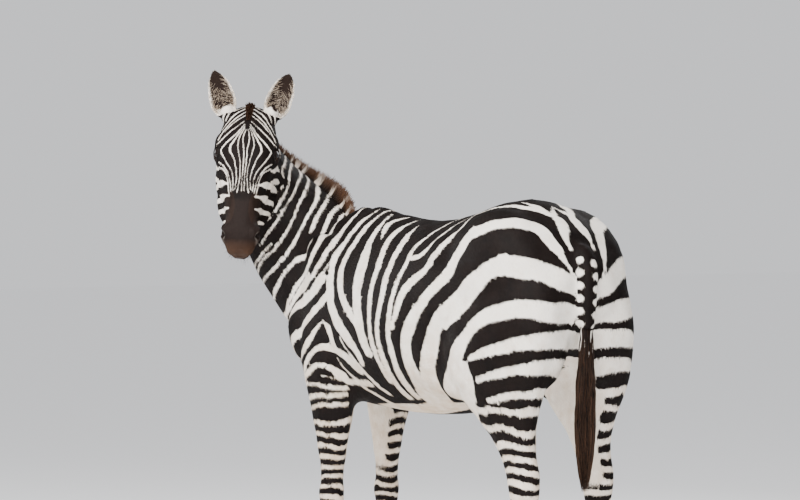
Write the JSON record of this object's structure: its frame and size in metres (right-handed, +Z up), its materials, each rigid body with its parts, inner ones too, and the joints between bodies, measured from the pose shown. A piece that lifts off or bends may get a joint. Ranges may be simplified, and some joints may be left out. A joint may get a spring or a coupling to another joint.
{
  "type": "zebra",
  "caption": "Life-size standing plains zebra, head turned back past its left side and lowered, tail hanging, all feet on the floor.",
  "frame": {"origin": "floor level, under the middle of the outline seen from above", "axes": "+Z up, +X from the head end to the tail, +Y to the animal's right"},
  "size_m": [1.63, 0.676, 1.7461],
  "materials": {
    "coat": "short flat hair, white with brown-black stripes",
    "long_hair": "coarse hair, black and white with brown tips",
    "hoof": "satin dark horn",
    "eye": "wet and glossy"
  },
  "bodies": {
    "root": {"trunk": "coat", "neck": "coat", "head": "coat", "ear_left": "coat", "ear_right": "coat", "eye_left": "eye", "eye_right": "eye", "mane": "long_hair", "tail_dock": "coat", "tail_tuft": "long_hair", "fore_leg_left": "coat", "fore_shank_left": "coat", "fore_hoof_left": "hoof", "fore_leg_right": "coat", "fore_shank_right": "coat", "fore_hoof_right": "hoof", "hind_leg_left": "coat", "hind_shank_left": "coat", "hind_hoof_left": "hoof", "hind_leg_right": "coat", "hind_shank_right": "coat", "hind_hoof_right": "hoof"}
  },
  "joints": []
}
